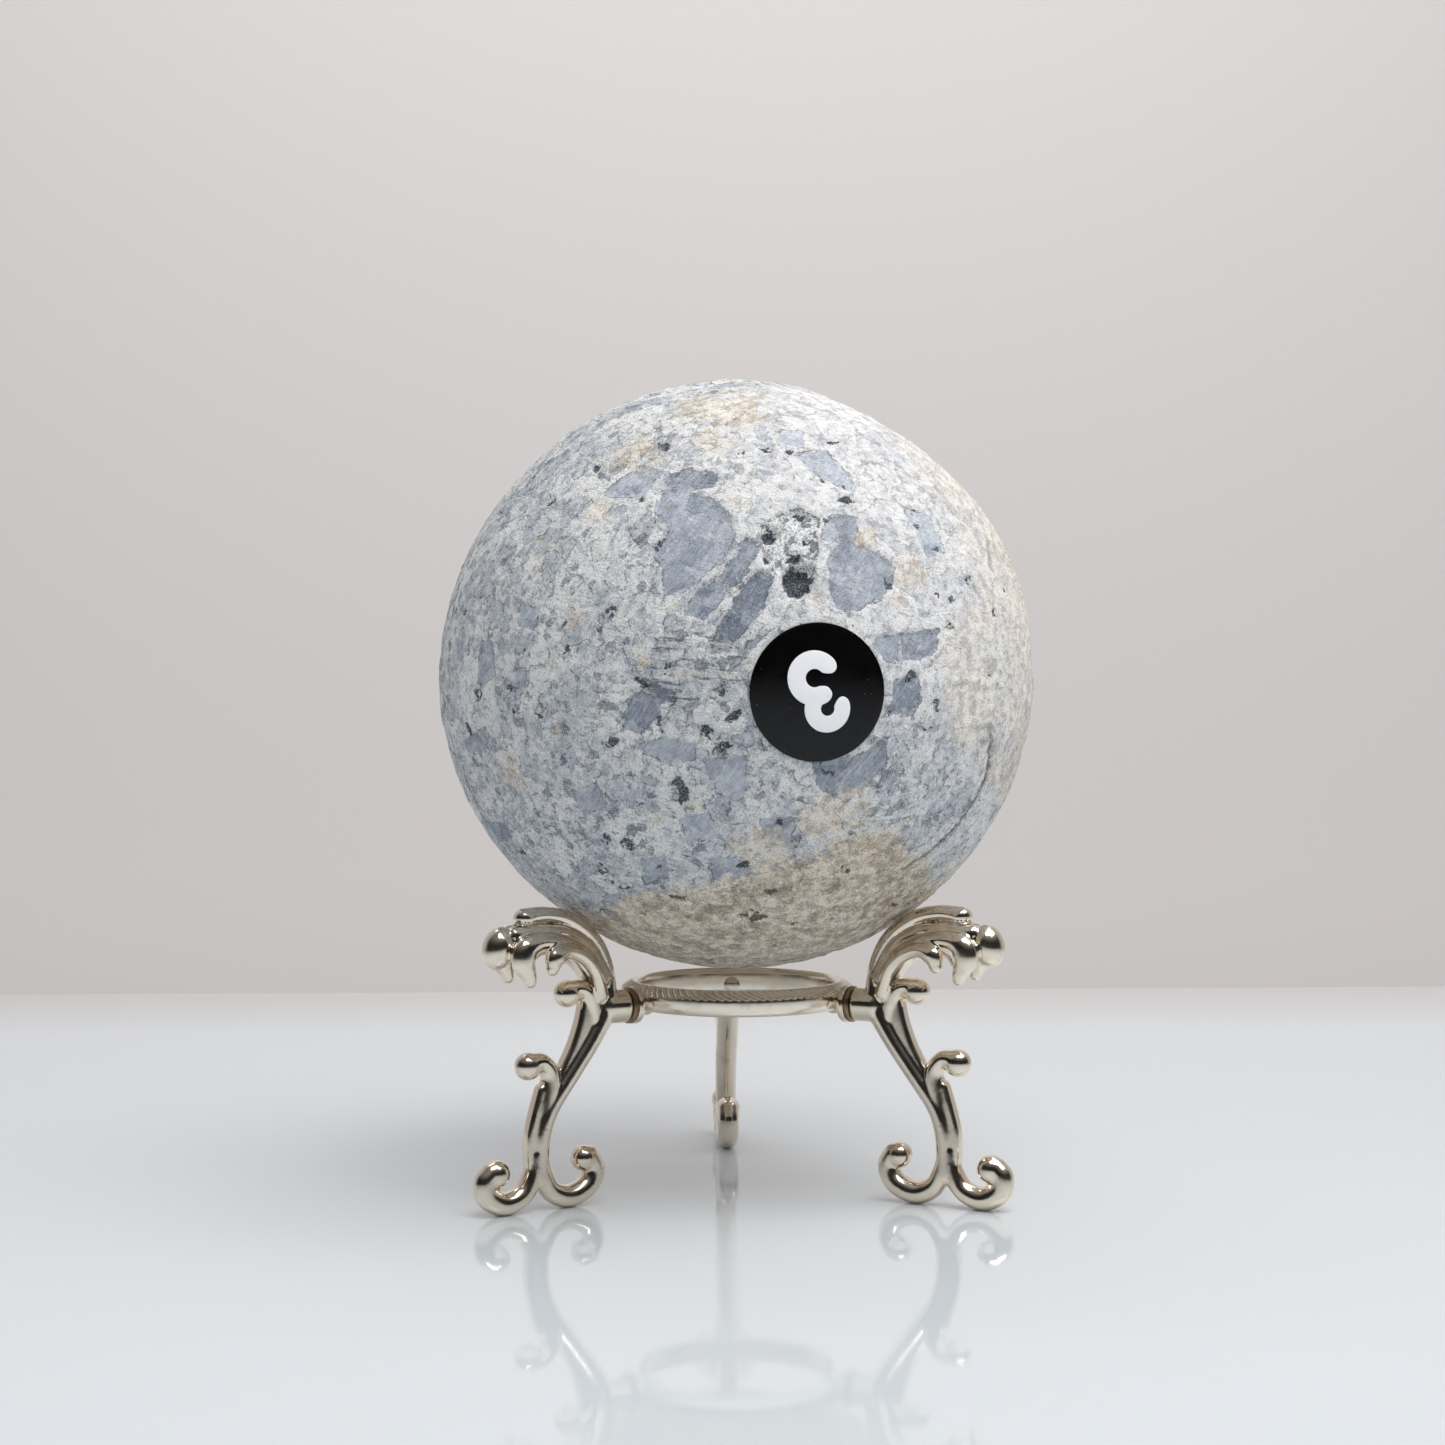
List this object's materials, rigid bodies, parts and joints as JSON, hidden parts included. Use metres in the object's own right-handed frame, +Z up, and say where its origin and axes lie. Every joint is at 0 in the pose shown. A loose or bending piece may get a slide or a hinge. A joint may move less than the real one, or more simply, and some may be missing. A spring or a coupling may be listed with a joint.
{
  "type": "numbered stone ball on stand",
  "caption": "Natural grey-blue stone ball with a round number label, resting on an ornate nickel-plated ring stand with scroll legs that swivel flat.",
  "frame": {"origin": "on the table under the centre of the stand's ring", "axes": "+Z up; +Y runs out over the back leg, so the label faces -Y and the two front legs stand at 210 and 330 degrees"},
  "size_m": [0.091, 0.0909, 0.1238],
  "materials": {
    "stone": "matt natural grey-blue crystalline stone with tan stains",
    "label": "glossy black vinyl with a white printed digit",
    "nickel": "polished warm nickel plate over a zinc casting",
    "rivet_steel": "plain nickel-plated steel",
    "washer_brass": "dull plated brass"
  },
  "bodies": {
    "stand": {"stand_ring": "nickel"},
    "ball": {"stone_ball": "stone", "number_label": "label"},
    "left_leg": {"leg_left": "nickel", "rivet_left": "rivet_steel", "washer_left": "washer_brass"},
    "right_leg": {"leg_right": "nickel", "rivet_right": "rivet_steel", "washer_right": "washer_brass"},
    "back_leg": {"leg_back": "nickel", "rivet_back": "rivet_steel", "washer_back": "washer_brass"}
  },
  "joints": [
    {"name": "ball_lift", "type": "slide", "parent": "stand", "child": "ball", "axis": [0, 0, 1], "range_m": [0, 0.06]},
    {"name": "left_leg_swivel", "type": "hinge", "parent": "stand", "child": "left_leg", "pos_m": [-0.01732, -0.01, 0.029], "axis": [-0.866, -0.5, 0], "range_deg": [-90, 90]},
    {"name": "right_leg_swivel", "type": "hinge", "parent": "stand", "child": "right_leg", "pos_m": [0.01732, -0.01, 0.029], "axis": [0.866, -0.5, 0], "range_deg": [-90, 90]},
    {"name": "back_leg_swivel", "type": "hinge", "parent": "stand", "child": "back_leg", "pos_m": [0, 0.02, 0.029], "axis": [0, 1, 0], "range_deg": [-90, 90]}
  ]
}
